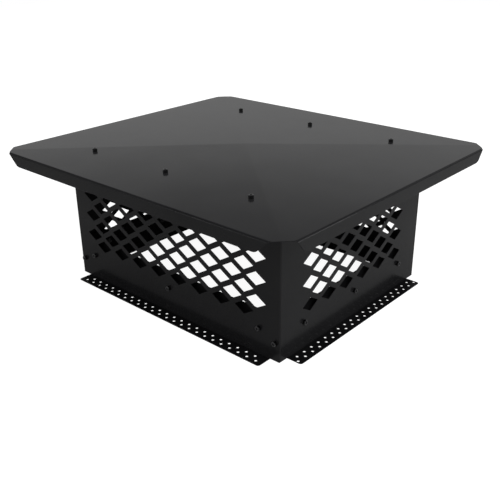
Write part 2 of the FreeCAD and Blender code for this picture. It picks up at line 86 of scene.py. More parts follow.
# Hood: its peak, the bends to the fascias, the clipped corners, and the fascias' ends, which
# slant inward from a little below the rim and are rounded at the foot
PEAK_RISE = 6.3
RIM = PEAK - PEAK_RISE
FASCIA_BEND = 2.5
CORNER_CLIP = 22.6
LONG_FASCIA_SLANT = 18
SHORT_FASCIA_SLANT = 12.5
SLANT_START = 1.4
FASCIA_ROUND = 12
# Cuts along a crease, as distances from it, and how much its facets are blended
CREASE_CUTS = (-1.2, -0.6, 0, 0.6, 1.2)
CREASE_SOFTNESS = 0.004

# Screens: top flange, side tabs on the short ones, and diamond openings in staggered rows
TOP_FLANGE = 17
TOP_FLANGE_SETBACK = 23
HIP_CLEARANCE = 1.5
SIDE_TAB = 14
OPENING_WIDTH = 32.7
OPENING_HEIGHT = 19.5
COLUMN_PITCH = 40.9
ROW_PITCH = 15.97
FIRST_ROW = 60.5
ROWS = 8
LONG_COLUMNS = 9
SHORT_COLUMNS = 6

# Faint rings left by the spot welds at a wall's foot: their places, across and up, and
# their section, as radius and height over the sheet
LONG_WELDS = ((-158, 6), (-6, 6), (152, 6))
SHORT_WELDS = ((-98, 5), (116, 5))
WELD_SECTION = (
    (4.7, -0.2), (4.6, 0), (4.0, 0.2), (3.3, 0.2), (2.6, 0), (2.5, -0.2), (4.7, -0.2),
)

# Base angles: upright leg with a crank and cut-back corners, and flange with two rows of holes
LONG_LEG_INSET = 2 * THICK
SHORT_LEG_INSET = 3 * THICK
CRANK_HEIGHT = 44.6
CRANK_DEPTH = 6
CRANK_DEGREES = 45
CORNER_RELIEF = 10.5
FLANGE_SETBACK = 16
FLANGE_TIP_ROUND = 4
PERFORATION = 3.7
OUTER_ROW = 14.9
INNER_ROW = 7.1
LONG_ROW_HOLES = 24
SHORT_ROW_HOLES = 20
LONG_ROW_END = 11
SHORT_ROW_END = 3.6

# Places of the screws, and the holes that they pass
WALL_SCREW_HEIGHT = 39.5
LONG_WALL_SCREW = 168.5
SHORT_WALL_SCREW = 115
CORNER_SCREW_HEIGHT = 27.3
CORNER_SCREW_INSET = 7.4
HOOD_SCREW_COLUMNS = (-151.5, 0, 151.5)
HOOD_SCREW_INSET = 6.5
CLEARANCE_HOLE = 4.6
HOLE_STEPS = 24

# Screw: shank with a thread that starts and ends short of it, and a tapered tip
SCREW_STEPS = 48
SCREW_SIZE = 4
SCREW_LENGTH = 10
THREAD_PITCH = 0.7
THREAD_DEPTH = 0.4
THREAD_TOP = 2
THREAD_FOOT = 0.3
PLAIN_SHANK = 1.4
TIP_TAPER = 0.5
TIP_SHARE = 0.6
# Its head: chamfers, knurled side, and a hexagon socket with a lead-in and a drilled point
HEAD_WIDTH = 7
HEAD_HEIGHT = 4
HEAD_CHAMFER = 0.4
HEAD_FOOT_CHAMFER = 0.4
CHAMFER_ROUND = 0.35
KNURL_DEPTH = 0.1
KNURL_END = 0.3
SOCKET_WIDTH = 3
SOCKET_DEPTH = 2
SOCKET_MOUTH = 1.22
SOCKET_LEAD_IN = 0.25
SOCKET_POINT_RADIUS = 0.4
SOCKET_POINT_DEPTH = 0.6
# Nut
NUT_WIDTH = 7
NUT_HEIGHT = 3.2
NUT_FACE_INSET = 0.1
BORE_GAP = 0.1
BORE_CHAMFER = 0.4

# Each wall: name, turn from the front in degrees, and whether it is a long one
WALLS = (
    ("front", 0, True),
    ("right", 90, False),
    ("back", 180, True),
    ("left", 270, False),
)


class Wall:
    """One wall: how far out it stands, half its run, and what depends on long or short."""

    def __init__(self, name, degrees, is_long):
        def pick(long_value, short_value):
            return long_value if is_long else short_value

        self.name = name
        self.degrees = degrees
        self.is_long = is_long
        self.out = pick(HALF_WIDTH, HALF_LENGTH)
        self.along = pick(HALF_LENGTH, HALF_WIDTH)
        self.hood_reach = pick(HOOD_HALF_WIDTH, HOOD_HALF_LENGTH)
        self.slope = math.atan(PEAK_RISE / self.hood_reach)
        self.columns = pick(LONG_COLUMNS, SHORT_COLUMNS)
        self.welds = pick(LONG_WELDS, SHORT_WELDS)
        self.screw_spread = pick(LONG_WALL_SCREW, SHORT_WALL_SCREW)
        self.leg_inset = pick(LONG_LEG_INSET, SHORT_LEG_INSET)
        self.row_holes = pick(LONG_ROW_HOLES, SHORT_ROW_HOLES)
        self.row_end = pick(LONG_ROW_END, SHORT_ROW_END)
        self.turn = Matrix.Rotation(math.radians(degrees), 4, "Z")

    def upright(self):
        """Stands a sheet up with its outer face on the wall's outer plane."""
        stand = Matrix.Rotation(math.pi / 2, 4, "X")
        return self.turn @ Matrix.Translation((0, -self.out, 0)) @ stand


# Flat outlines


def circle(x, y, width):
    """Points of a round hole."""
    ring = [math.tau * step / HOLE_STEPS for step in range(HOLE_STEPS)]
    return [(x + width / 2 * math.cos(turn), y + width / 2 * math.sin(turn)) for turn in ring]


def diamond(x, y, width, height):
    """Points of a diamond."""
    return [(x + width / 2, y), (x, y + height / 2), (x - width / 2, y), (x, y - height / 2)]


def both_sides(points):
    """A symmetric outline from the points of its right half, lowest first."""
    return points + [(-x, y) for x, y in reversed(points)]


def rounded_corner(before, corner, after, radius):
    """Points of the arc that rounds one corner of an outline."""
    corner = Vector(corner)
    to_before = (Vector(before) - corner).normalized()
    to_after = (Vector(after) - corner).normalized()
    half_angle = to_before.angle(to_after) / 2
    centre = corner + (to_before + to_after).normalized() * radius / math.sin(half_angle)
    start = corner + to_before * radius / math.tan(half_angle) - centre
    end = corner + to_after * radius / math.tan(half_angle) - centre
    shares = [step / CORNER_STEPS for step in range(CORNER_STEPS + 1)]
    return [tuple(centre + start.slerp(end, share).normalized() * radius) for share in shares]


# Sheets


def flat_sheet(name, outlines):
    """A flat sheet with its outer face at Z = 0, from an outline and those of its holes."""
    curve = bpy.data.curves.new(name, "CURVE")
    curve.dimensions = "2D"
    curve.fill_mode = "BOTH"
    curve.extrude = THICK / 2 - EDGE_BEVEL
    curve.bevel_depth = EDGE_BEVEL
    curve.bevel_resolution = 0
    curve.offset = -EDGE_BEVEL
    for outline in outlines:
        spline = curve.splines.new("POLY")
        spline.points.add(len(outline) - 1)
        for point, (x, y) in zip(spline.points, outline):
            point.co = (x, y, 0, 1)
        spline.use_cyclic_u = True
    holder = bpy.data.objects.new(name, curve)
    bpy.context.scene.collection.objects.link(holder)
    bpy.context.view_layer.update()
    mesh = bpy.data.meshes.new_from_object(holder)
    bpy.data.objects.remove(holder)
    sheet = bmesh.new()
    sheet.from_mesh(mesh)
    bpy.data.meshes.remove(mesh)
    bmesh.ops.remove_doubles(sheet, verts=sheet.verts, dist=JOIN_WITHIN)
    bmesh.ops.translate(sheet, verts=sheet.verts, vec=(0, 0, -THICK / 2))
    return sheet


def cut_sheet(sheet, point, normal):
    """Add edges to the sheet where a plane crosses it."""
    everything = sheet.verts[:] + sheet.edges[:] + sheet.faces[:]
    bmesh.ops.bisect_plane(
        sheet, geom=everything, plane_co=point, plane_no=normal, dist=CUT_WITHIN)


def fold(sheet, start, degrees, turn=0, outside=BEND_OUTSIDE):
    """Bend what lies beyond start, along +Y turned by turn: inward, or outward if negative."""
    facing = Matrix.Rotation(math.radians(turn), 4, "Z")
    sheet.transform(facing.inverted())
    if degrees > 0:
        roll_sheet(sheet, start, math.radians(degrees), outside, -1)
    else:
        roll_sheet(sheet, start, math.radians(-degrees), outside - THICK, 1)
    sheet.transform(facing)


def roll_sheet(sheet, start, angle, radius, side):
    """Roll the sheet about a line over its inner (-1) or outer (1) side."""
    sweep = radius * angle
    for step in range(FOLD_STEPS + 1):
        cut_sheet(sheet, (0, start + sweep * step / FOLD_STEPS, 0), (0, 1, 0))
    centre = side * radius
    for vert in sheet.verts:
        beyond = vert.co.y - start
        if beyond <= 0:
            continue
        turned = min(beyond / radius, angle)
        rest = max(beyond - sweep, 0)
        arm = vert.co.z - centre
        vert.co.y = start - side * arm * math.sin(turned) + rest * math.cos(turned)
        vert.co.z = centre + arm * math.cos(turned) + side * rest * math.sin(turned)


def absorb(whole, part):
    """Add one shape to another, and free it."""
    mesh = bpy.data.meshes.new("part")
    part.to_mesh(mesh)
    part.free()
    whole.from_mesh(mesh)
    bpy.data.meshes.remove(mesh)


def sheet_piece(name, sheet, place, node, material):
    """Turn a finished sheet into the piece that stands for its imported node."""
    sheet.transform(Matrix.Scale(MM, 4) @ place)
    bmesh.ops.dissolve_degenerate(sheet, dist=SHORTEST_EDGE, edges=sheet.edges)
    add_piece(name, sheet, node, material, SHEET_SMOOTH_BELOW)


def add_piece(name, shape, node, material, smooth_below):
    """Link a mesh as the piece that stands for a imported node."""
    mesh = bpy.data.meshes.new(name)
    shape.to_mesh(mesh)
    shape.free()
    mesh.materials.append(material)
    mesh.shade_smooth()
    mesh.set_sharp_from_angle(angle=math.radians(smooth_below))
    piece = bpy.data.objects.new(name, mesh)
    bpy.context.scene.collection.objects.link(piece)
    weighted = piece.modifiers.new("even_shading", "WEIGHTED_NORMAL")
    weighted.keep_sharp = True
    weighted.weight = LARGE_FACE_WEIGHT
    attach(piece, "root")
    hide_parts(node)


# Hood


def hood_outline():
    """The hood laid out flat, with its four fascias unfolded."""
    sweep = FASCIA_BEND * math.pi / 2
    drop = RIM - HOOD_LOW
    turns = [math.pi / 2 * step / FOLD_STEPS for step in range(FOLD_STEPS, -1, -1)]
    quarter = []
    for half_run, half_out, slant, is_end in (
        (HOOD_HALF_WIDTH, HOOD_HALF_LENGTH, SHORT_FASCIA_SLANT, True),
        (HOOD_HALF_LENGTH, HOOD_HALF_WIDTH, LONG_FASCIA_SLANT, False),
    ):
        bend_start = half_out - FASCIA_BEND
        clip_start = half_run - CORNER_CLIP
        foot = bend_start + sweep + drop - FASCIA_BEND
        corner = (clip_start - slant, foot)
        end = []
        for turn in turns:
            fall = FASCIA_BEND * (1 - math.cos(turn)) - SLANT_START
            cut_back = slant * max(fall, 0) / (drop - SLANT_START)
            end.append((clip_start - cut_back, bend_start + FASCIA_BEND * turn))
        neck = (clip_start + FASCIA_BEND, bend_start)
        points = rounded_corner((0, foot), corner, end[0], FASCIA_ROUND) + end + [neck]
        if is_end:
            quarter += [(y, x) for x, y in points]
        else:
            quarter += reversed(points)
    right_half = [(x, -y) for x, y in reversed(quarter)] + quarter
    return both_sides(right_half)


def cross_break(x, y):
    """Rise of the hood over its rim: four shallow facets that meet in soft creases."""
    end_fall = 1 - abs(x) / HOOD_HALF_LENGTH
    side_fall = 1 - abs(y) / HOOD_HALF_WIDTH
    apart = math.hypot(end_fall - side_fall, CREASE_SOFTNESS)
    return PEAK_RISE * max((end_fall + side_fall - apart) / 2, 0)


def hood_screw_places():
    """Places of the screws through the hood, seen from above."""
    across = HALF_WIDTH - HOOD_SCREW_INSET
    return [(x, sign * across) for x in HOOD_SCREW_COLUMNS for sign in (-1, 1)]


def make_hood(walls, material):
    """Folded hood with its cross break."""
    holes = [circle(x, y, CLEARANCE_HOLE) for x, y in hood_screw_places()]
    sheet = flat_sheet("hood_flat", [hood_outline()] + holes)
    for sign in (-1, 1):
        normal = Vector((HOOD_HALF_WIDTH, sign * HOOD_HALF_LENGTH, 0)).normalized()
        for shift in CREASE_CUTS:
            cut_sheet(sheet, normal * shift, normal)
    for wall in walls:
        fold(sheet, wall.hood_reach - FASCIA_BEND, 90, turn=wall.degrees, outside=FASCIA_BEND)
    for vert in sheet.verts:
        vert.co.z += RIM + cross_break(vert.co.x, vert.co.y)
    sheet_piece("hood_sheet", sheet, Matrix.Identity(4), "hood", material)


# Screens


def screen_openings(wall):
    """Diamonds in staggered rows: every other row has one column fewer."""
    openings = []
    for row in range(ROWS):
        is_full = (row % 2 == 1) == wall.is_long
        count = wall.columns if is_full else wall.columns - 1
        y = FIRST_ROW + row * ROW_PITCH
        for column in range(count):
            x = COLUMN_PITCH * (column - (count - 1) / 2)
            openings.append(diamond(x, y, OPENING_WIDTH, OPENING_HEIGHT))
    return openings


def wall_screw_places(wall):
    """Places of the screws on a wall: across and up."""
    columns = (-wall.screw_spread, 0, wall.screw_spread)
    return [(across, WALL_SCREW_HEIGHT) for across in columns]


def corner_screw_places(wall):
    """Places of the corner screws on a long wall."""
    across = wall.along - CORNER_SCREW_INSET
    return [(-across, CORNER_SCREW_HEIGHT), (across, CORNER_SCREW_HEIGHT)]


def add_weld(sheet, across, up):
    """A faint raised ring on the outer face."""
    ring = bmesh.new()
    lathe(ring, [plain(radius, height) for radius, height in WELD_SECTION])
    bmesh.ops.remove_doubles(ring, verts=ring.verts, dist=JOIN_WITHIN)
    bmesh.ops.recalc_face_normals(ring, faces=ring.faces)
    ring.transform(Matrix.Translation((across, up, 0)))
    absorb(sheet, ring)


def make_screen(wall, material):
    """Screen wall with its top flange and, on a short wall, its side tabs."""
    top_bend = math.pi / 2 - wall.slope
    rise = PEAK_RISE * (1 - wall.out / wall.hood_reach)
    top = RIM + rise - THICK - SEAT_GAP
    set_back = BEND_OUTSIDE * math.tan(top_bend / 2)
    bend_start = top - set_back
    flange_start = bend_start + BEND_OUTSIDE * top_bend
    notch_foot = top - BEND_OUTSIDE
    flange_tip = flange_start + TOP_FLANGE / math.cos(wall.slope) - set_back

    places = wall_screw_places(wall)
    if wall.is_long:
        side = wall.along
        hip = (wall.out - TOP_FLANGE) * HOOD_HALF_LENGTH / HOOD_HALF_WIDTH
        flange_end = hip - HIP_CLEARANCE
        over = flange_start + HOOD_SCREW_INSET / math.cos(wall.slope) - set_back
        places += corner_screw_places(wall)
        places += [(x, over) for x in HOOD_SCREW_COLUMNS]
    else:
        tab_bend = wall.along - THICK - BEND_OUTSIDE
        tab_start = tab_bend + BEND_OUTSIDE * math.pi / 2
        side = tab_start + SIDE_TAB - BEND_OUTSIDE
        flange_end = wall.along - TOP_FLANGE_SETBACK
        tab_screw = tab_start + CORNER_SCREW_INSET - BEND_OUTSIDE
        places += [(-tab_screw, CORNER_SCREW_HEIGHT), (tab_screw, CORNER_SCREW_HEIGHT)]

    outline = both_sides([
        (side, THICK), (side, notch_foot), (flange_end, notch_foot), (flange_end, flange_tip),
    ])
    holes = [circle(x, y, CLEARANCE_HOLE) for x, y in places]
    sheet = flat_sheet(wall.name + "_screen_flat", [outline] + screen_openings(wall) + holes)
    for across, up in wall.welds:
        add_weld(sheet, across, up)
    fold(sheet, bend_start, math.degrees(top_bend))
    if not wall.is_long:
        fold(sheet, tab_bend, 90, turn=90)
        fold(sheet, tab_bend, 90, turn=-90)
    node = wall.name + "_screen"
    sheet_piece(node + "_sheet", sheet, wall.upright(), node, material)


# Base angles


def make_base_angle(wall, material):
    """Base angle: perforated flange, upright leg and the crank at the leg's upper edge."""
    leg_end = wall.along - wall.leg_inset
    flange_end = wall.along - FLANGE_SETBACK
    foot_bend = BASE_FLANGE + STACK - BEND_OUTSIDE
    leg_start = foot_bend + BEND_OUTSIDE * math.pi / 2

    def up_leg(height):
        return leg_start + height - BEND_OUTSIDE

    crank = math.radians(CRANK_DEGREES)
    half_crank = math.tan(crank / 2)
    inner_corner = THICK * half_crank
    crank_bend = up_leg(CRANK_HEIGHT - inner_corner - BEND_INSIDE * half_crank)
    slant = CRANK_DEPTH / math.sin(crank) - (BEND_INSIDE + BEND_OUTSIDE) * half_crank
    return_bend = crank_bend + BEND_INSIDE * crank + slant
    above_crank = COLLAR_TOP - CRANK_HEIGHT - CRANK_DEPTH + inner_corner
    tip = return_bend + BEND_OUTSIDE * crank + above_crank - BEND_OUTSIDE * half_crank

    flange_corner = rounded_corner(
        (0, 0), (flange_end, 0), (flange_end, leg_start), FLANGE_TIP_ROUND)
    outline = both_sides(flange_corner + [
        (flange_end, leg_start),
        (leg_end, leg_start),
        (leg_end, crank_bend),
        (wall.along - CORNER_RELIEF, crank_bend),
        (wall.along - CORNER_RELIEF, tip),
    ])
    places = wall_screw_places(wall)
    if wall.is_long:
        places += corner_screw_places(wall)
    holes = [circle(x, up_leg(y), CLEARANCE_HOLE) for x, y in places]
    holes += perforations(wall, flange_end)

    sheet = flat_sheet(wall.name + "_base_flat", [outline] + holes)
    fold(sheet, return_bend, CRANK_DEGREES)
    fold(sheet, crank_bend, -CRANK_DEGREES)
    fold(sheet, foot_bend, 90)
    underside_down = Matrix.Rotation(math.pi, 4, "Y")
    place = wall.turn @ Matrix.Translation((0, -wall.out - BASE_FLANGE, 0)) @ underside_down
    node = wall.name + "_base_angle"
    sheet_piece(node + "_sheet", sheet, place, node, material)


def perforations(wall, flange_end):
    """Two staggered rows of round holes along the flange."""
    count = wall.row_holes
    pitch = 2 * (flange_end - wall.row_end) / (count - 1)
    holes = []
    for row_out, row_count in ((OUTER_ROW, count), (INNER_ROW, count - 1)):
        for step in range(row_count):
            x = pitch * (step - (row_count - 1) / 2)
            holes.append(circle(x, BASE_FLANGE - row_out, PERFORATION))
    return holes


# Screws and nuts


def hexagon_radius(width, turn):
    """Distance from a hexagon's centre to its outline."""
    return width / 2 / math.cos((turn + math.pi / 6) % (math.pi / 3) - math.pi / 6)


def lathe(shape, rings, close_ends=False):
    """Join rings, each a function from an angle to a radius and a height."""
    made = []
    for ring in rings:
        verts = []
        for step in range(SCREW_STEPS):
            turn = math.tau * step / SCREW_STEPS
            radius, height = ring(turn)
            place = (radius * math.cos(turn), radius * math.sin(turn), height)
            verts.append(shape.verts.new(place))
        made.append(verts)
    for lower, upper in zip(made, made[1:]):
        for step in range(SCREW_STEPS):
            following = (step + 1) % SCREW_STEPS
            shape.faces.new((lower[step], lower[following], upper[following], upper[step]))
    if close_ends:
        shape.faces.new(list(reversed(made[0])))
        shape.faces.new(made[-1])


def plain(radius, height):
    """A round ring."""
    return lambda turn: (radius, height)


def hexagonal(width, height):
    """A six-sided ring."""
    return lambda turn: (hexagon_radius(width, turn), height)


def knurled(radius, height):
    """A ring whose radius dips at every other step."""
    def ring(turn):
        is_dip = round(turn / math.tau * SCREW_STEPS) % 2
        return radius - KNURL_DEPTH * is_dip, height
    return ring


def cornered(face, way):
    """A nut's edge where a cone cuts its corners, rising (1) or falling (-1) from a face."""
    def ring(turn):
        beyond = hexagon_radius(NUT_WIDTH, turn) - (NUT_WIDTH / 2 - NUT_FACE_INSET)
        return hexagon_radius(NUT_WIDTH, turn), face + way * beyond * math.tan(math.pi / 6)
    return ring


def add_thread(shape, low, high):
    """A helical thread between two heights."""
    crest = SCREW_SIZE / 2
    root = crest - THREAD_DEPTH
    steps = int((high - low) / THREAD_PITCH) * SCREW_STEPS
    valley = []
    ridge = []
    for step in range(steps + 1):
        turn = math.tau * step / SCREW_STEPS
        height = low + THREAD_PITCH * step / SCREW_STEPS
        valley.append(shape.verts.new((root * math.cos(turn), root * math.sin(turn), height)))
        lift = height + THREAD_PITCH / 2
        ridge.append(shape.verts.new((crest * math.cos(turn), crest * math.sin(turn), lift)))
    for step in range(steps):
        shape.faces.new((valley[step], valley[step + 1], ridge[step + 1], ridge[step]))
        above = step + SCREW_STEPS
        if above + 1 <= steps:
            shape.faces.new((ridge[step], ridge[step + 1], valley[above + 1], valley[above]))


def make_screw():
    """A socket head cap screw along Z with its head's underside at Z = 0."""
    shape = bmesh.new()
    half_head = HEAD_WIDTH / 2
    half_shank = SCREW_SIZE / 2
    core = half_shank - THREAD_DEPTH
    chamfer_start = HEAD_HEIGHT - HEAD_CHAMFER
    rounding = HEAD_CHAMFER * CHAMFER_ROUND
    socket_floor = HEAD_HEIGHT - SOCKET_DEPTH
    lathe(shape, [
        plain(core * TIP_SHARE, -SCREW_LENGTH),
        plain(core, -SCREW_LENGTH + TIP_TAPER),
        plain(core, -THREAD_TOP),
        plain(half_shank, -PLAIN_SHANK),
        plain(half_shank, 0),
        plain(half_head - HEAD_FOOT_CHAMFER, 0),
        knurled(half_head, HEAD_FOOT_CHAMFER),
        knurled(half_head, chamfer_start - KNURL_END),
        plain(half_head, chamfer_start),
        plain(half_head - rounding, HEAD_HEIGHT - rounding),
        plain(half_head - HEAD_CHAMFER, HEAD_HEIGHT),
        plain(SOCKET_WIDTH / 2 * SOCKET_MOUTH, HEAD_HEIGHT),
        hexagonal(SOCKET_WIDTH, HEAD_HEIGHT - SOCKET_LEAD_IN),
        hexagonal(SOCKET_WIDTH, socket_floor),
        plain(SOCKET_POINT_RADIUS, socket_floor - SOCKET_POINT_DEPTH),
    ], close_ends=True)
    add_thread(shape, -SCREW_LENGTH + THREAD_FOOT, -THREAD_TOP)
    return shape


def make_nut():
    """A hexagon nut along Z with its upper face at Z = 0."""
    shape = bmesh.new()
    bore = SCREW_SIZE / 2 + BORE_GAP
    washer = NUT_WIDTH / 2 - NUT_FACE_INSET
    lathe(shape, [
        plain(bore, -NUT_HEIGHT + BORE_CHAMFER),
        plain(bore + BORE_CHAMFER, -NUT_HEIGHT),
        plain(washer, -NUT_HEIGHT),
        cornered(-NUT_HEIGHT, 1),
        cornered(0, -1),
        plain(washer, 0),
        plain(bore + BORE_CHAMFER, 0),
        plain(bore, -BORE_CHAMFER),
        plain(bore, -NUT_HEIGHT + BORE_CHAMFER),
    ])
    bmesh.ops.remove_doubles(shape, verts=shape.verts, dist=JOIN_WITHIN)
    return shape


def fastener_piece(name, template, places, node, material):
    """Copies of one screw or nut as a single piece."""
    together = bmesh.new()
    for place in places:
        copy = template.copy()
        copy.transform(Matrix.Scale(MM, 4) @ place)
        absorb(together, copy)
    add_piece(name, together, node, material, FASTENER_SMOOTH_BELOW)


def make_fasteners(walls, material):
    """Every screw and nut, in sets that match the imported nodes."""
    screw = make_screw()
    nut = make_nut()

    def make_set(prefix, seats, nut_seats):
        fastener_piece(prefix + "_screw_set", screw, seats, prefix + "_screws", material)
        fastener_piece(prefix + "_nut_set", nut, nut_seats, prefix + "_nuts", material)

    inside = Matrix.Translation((0, 0, -STACK))
    for wall in walls:
        sets = [("_wall", wall_screw_places(wall))]
        if wall.is_long:
            sets.append(("_corner", corner_screw_places(wall)))
        for kind, spots in sets:
            seats = [wall.upright() @ Matrix.Translation((x, y, 0)) for x, y in spots]
            make_set(wall.name + kind, seats, [seat @ inside for seat in seats])

    head_foot = corner_mm("hood_screws", 1).z - HEAD_HEIGHT
    nut_top = corner_mm("hood_nuts", 1).z
    seats = [Matrix.Translation((x, y, head_foot)) for x, y in hood_screw_places()]
    nut_seats = [Matrix.Translation((x, y, nut_top)) for x, y in hood_screw_places()]
    make_set("hood", seats, nut_seats)
    screw.free()
    nut.free()


# Materials

# Values between which a noise pattern mostly lies
NOISE_LOW = 0.3
NOISE_HIGH = 0.7


class Nodes:
    """Short calls for building the node tree of a material or world."""

    def __init__(self, owner):
        self.owner = owner
        owner.use_nodes = True
        self.tree = owner.node_tree
        self.tree.nodes.clear()

    def add(self, kind, **values):
        """A new node, with values for its inputs or its own settings."""
        node = self.tree.nodes.new(kind)
        for key, value in values.items():
            if key in node.inputs:
                node.inputs[key].default_value = value
            else:
                setattr(node, key, value)
        return node

    def link(self, output, target):
        """Feed an output into an input."""
        self.tree.links.new(output, target)

    def join(self, kind, *sources):
        """A node that adds or mixes shaders, with the factor first where it takes one."""
        node = self.add(kind)
        for source, target in zip(sources, node.inputs):
            self.link(source, target)
        return node.outputs["Shader"]

    def finish(self, output, kind="ShaderNodeOutputMaterial"):
        """Make an output the surface of the material or world."""
        self.link(output, self.add(kind).inputs["Surface"])
        return self.owner

    def noise(self, place, scale, detail):
        """A noise pattern in the object's own space, with scale in features per metre."""
        pattern = self.add("ShaderNodeTexNoise", Scale=scale, Detail=detail)
        self.link(place.outputs["Object"], pattern.inputs["Vector"])
        return pattern.outputs["Fac"]

    def spread(self, pattern, low, high):
        """A noise pattern mapped to run from low to high."""
        span = self.add("ShaderNodeMapRange")
        span.inputs["From Min"].default_value = NOISE_LOW
        span.inputs["From Max"].default_value = NOISE_HIGH
        span.inputs["To Min"].default_value = low
        span.inputs["To Max"].default_value = high
        self.link(pattern, span.inputs["Value"])
        return span.outputs["Result"]

    def mottle(self, pattern, dark, light):
        """A colour that follows a noise pattern from dark to light."""
        tone = self.add("ShaderNodeMix", data_type="RGBA")
        tone.inputs["A"].default_value = (*dark, 1)
        tone.inputs["B"].default_value = (*light, 1)
        self.link(self.spread(pattern, low=0, high=1), tone.inputs["Factor"])
        return tone.outputs["Result"]


def powder_coat(name, dark, light, smooth, rough, index):
    """Satin black powder coat: fine orange peel, uneven sheen and a faint change of tone."""
    nodes = Nodes(bpy.data.materials.new(name))
    place = nodes.add("ShaderNodeTexCoord")
    shader = nodes.add("ShaderNodeBsdfPrincipled", IOR=index)
    tone = nodes.mottle(nodes.noise(place, scale=14, detail=4), dark, light)
    nodes.link(tone, shader.inputs["Base Color"])
    sheen = nodes.spread(nodes.noise(place, scale=60, detail=6), smooth, rough)
    nodes.link(sheen, shader.inputs["Roughness"])

    wave = nodes.add("ShaderNodeBump", Strength=1.0, Distance=0.0005)
    nodes.link(nodes.noise(place, scale=7, detail=1), wave.inputs["Height"])
    peel = nodes.add("ShaderNodeBump", Strength=0.04, Distance=0.00006)
    nodes.link(nodes.noise(place, scale=900, detail=3), peel.inputs["Height"])
    nodes.link(wave.outputs["Normal"], peel.inputs["Normal"])
    nodes.link(peel.outputs["Normal"], shader.inputs["Normal"])
    return nodes.finish(shader.outputs["BSDF"])


def black_oxide(name, dark, light, smooth, rough):
    """Black oxide on steel, with a faint random change of tone and of sheen."""
    nodes = Nodes(bpy.data.materials.new(name))
    place = nodes.add("ShaderNodeTexCoord")
    shader = nodes.add("ShaderNodeBsdfPrincipled", Metallic=1.0)
    tone = nodes.mottle(nodes.noise(place, scale=400, detail=5), dark, light)
    nodes.link(tone, shader.inputs["Base Color"])
    sheen = nodes.spread(nodes.noise(place, scale=1500, detail=3), smooth, rough)
    nodes.link(sheen, shader.inputs["Roughness"])
    return nodes.finish(shader.outputs["BSDF"])


# Studio

FLOOR_SIZE = 8.0
# The floor lies just under the object, which keeps the flanges' undersides clear of it
FLOOR_DROP = 0.0002
# Tone of the floor as it lights the object, and what reflections add to it
FLOOR_TONE = 0.30
GLOSS_LIFT = 0.04
# To the camera the floor glows, and its shade carries the object's shadow. The glow turns
# from pale to white between two distances from the middle
FLOOR_SHADE = 0.14
FLOOR_GLOW = 0.94
PALE_WITHIN = 0.35
WHITE_BEYOND = 1.0
# Even light from all around
AMBIENT = 0.4
# Tones of the studio in reflections: sine of the height above the horizon, and tone
SKY = (
    (0.0, 0.1), (0.13, 0.3), (0.21, 0.54), (0.26, 0.625), (0.33, 0.675),
    (0.375, 0.65), (0.415, 0.36), (0.46, 0.345), (0.62, 0.125), (1.0, 0.15),
)
SKY_TILT = 0.06
# Height that the lamps point at
LAMP_AIM = 0.1
# Each lamp: name, place, width in metres, watts, and whether reflections show it
LAMPS = (
    ("front_light", (-0.3, -1.3, 1.0), 1.0, 7, False),
    ("low_left_light", (-0.75, -1.4, 0.22), 0.36, 3.2, True),
    ("low_right_light", (1.27, 0.91, 0.17), 0.3, 1.5, True),
    ("right_light", (1.3, -0.3, 1.0), 1.4, 34, False),
    ("top_light", (0.25, 0.1, 1.25), 1.2, 9, False),
    ("back_light", (-1.1, 1.1, 1.0), 1.2, 10, False),
)


def grey(tone):
    """A neutral colour."""
    return (tone, tone, tone, 1)


def seen_in_gloss(nodes, path):
    """1 where a glossy or transmission ray looks, and 0 elsewhere."""
    either = nodes.add("ShaderNodeMath", operation="MAXIMUM")
    nodes.link(path.outputs["Is Glossy Ray"], either.inputs[0])
    nodes.link(path.outputs["Is Transmission Ray"], either.inputs[1])
    return either.outputs["Value"]


def floor_paper():
    """White to the camera, darker as it lights the object, and clear from below."""
    nodes = Nodes(bpy.data.materials.new("floor_paper"))
    path = nodes.add("ShaderNodeLightPath")
    paper = nodes.add("ShaderNodeBsdfDiffuse", Color=grey(FLOOR_TONE))
    lift = nodes.add("ShaderNodeMath", operation="MULTIPLY")
    lift.inputs[1].default_value = GLOSS_LIFT
    nodes.link(seen_in_gloss(nodes, path), lift.inputs[0])
    reflected = nodes.add("ShaderNodeEmission")
    nodes.link(lift.outputs["Value"], reflected.inputs["Strength"])
    lit = nodes.join("ShaderNodeAddShader", paper.outputs["BSDF"], reflected.outputs["Emission"])

    pale = nodes.add("ShaderNodeBsdfDiffuse", Color=grey(FLOOR_SHADE))
    place = nodes.add("ShaderNodeTexCoord")
    away = nodes.add("ShaderNodeVectorMath", operation="LENGTH")
    nodes.link(place.outputs["Object"], away.inputs[0])
    whiten = nodes.add("ShaderNodeMapRange", interpolation_type="SMOOTHSTEP")
    whiten.inputs["From Min"].default_value = PALE_WITHIN
    whiten.inputs["From Max"].default_value = WHITE_BEYOND
    whiten.inputs["To Min"].default_value = FLOOR_GLOW
    nodes.link(away.outputs["Value"], whiten.inputs["Value"])
    glow = nodes.add("ShaderNodeEmission")
    nodes.link(whiten.outputs["Result"], glow.inputs["Strength"])
    seen = nodes.join("ShaderNodeAddShader", pale.outputs["BSDF"], glow.outputs["Emission"])

    above = nodes.join("ShaderNodeMixShader", path.outputs["Is Camera Ray"], lit, seen)
    side = nodes.add("ShaderNodeNewGeometry")
    clear = nodes.add("ShaderNodeBsdfTransparent")
    return nodes.finish(nodes.join(
        "ShaderNodeMixShader", side.outputs["Backfacing"], above, clear.outputs["BSDF"]))


def make_floor():
    """The floor that carries the object's shadow."""
    shape = bmesh.new()
    bmesh.ops.create_grid(shape, x_segments=1, y_segments=1, size=FLOOR_SIZE / 2)
    bmesh.ops.translate(shape, verts=shape.verts, vec=(0, 0, -FLOOR_DROP))
    mesh = bpy.data.meshes.new("studio_floor")
    shape.to_mesh(mesh)
    shape.free()
    mesh.materials.append(floor_paper())
    floor = bpy.data.objects.new("studio_floor", mesh)
    bpy.context.scene.collection.objects.link(floor)


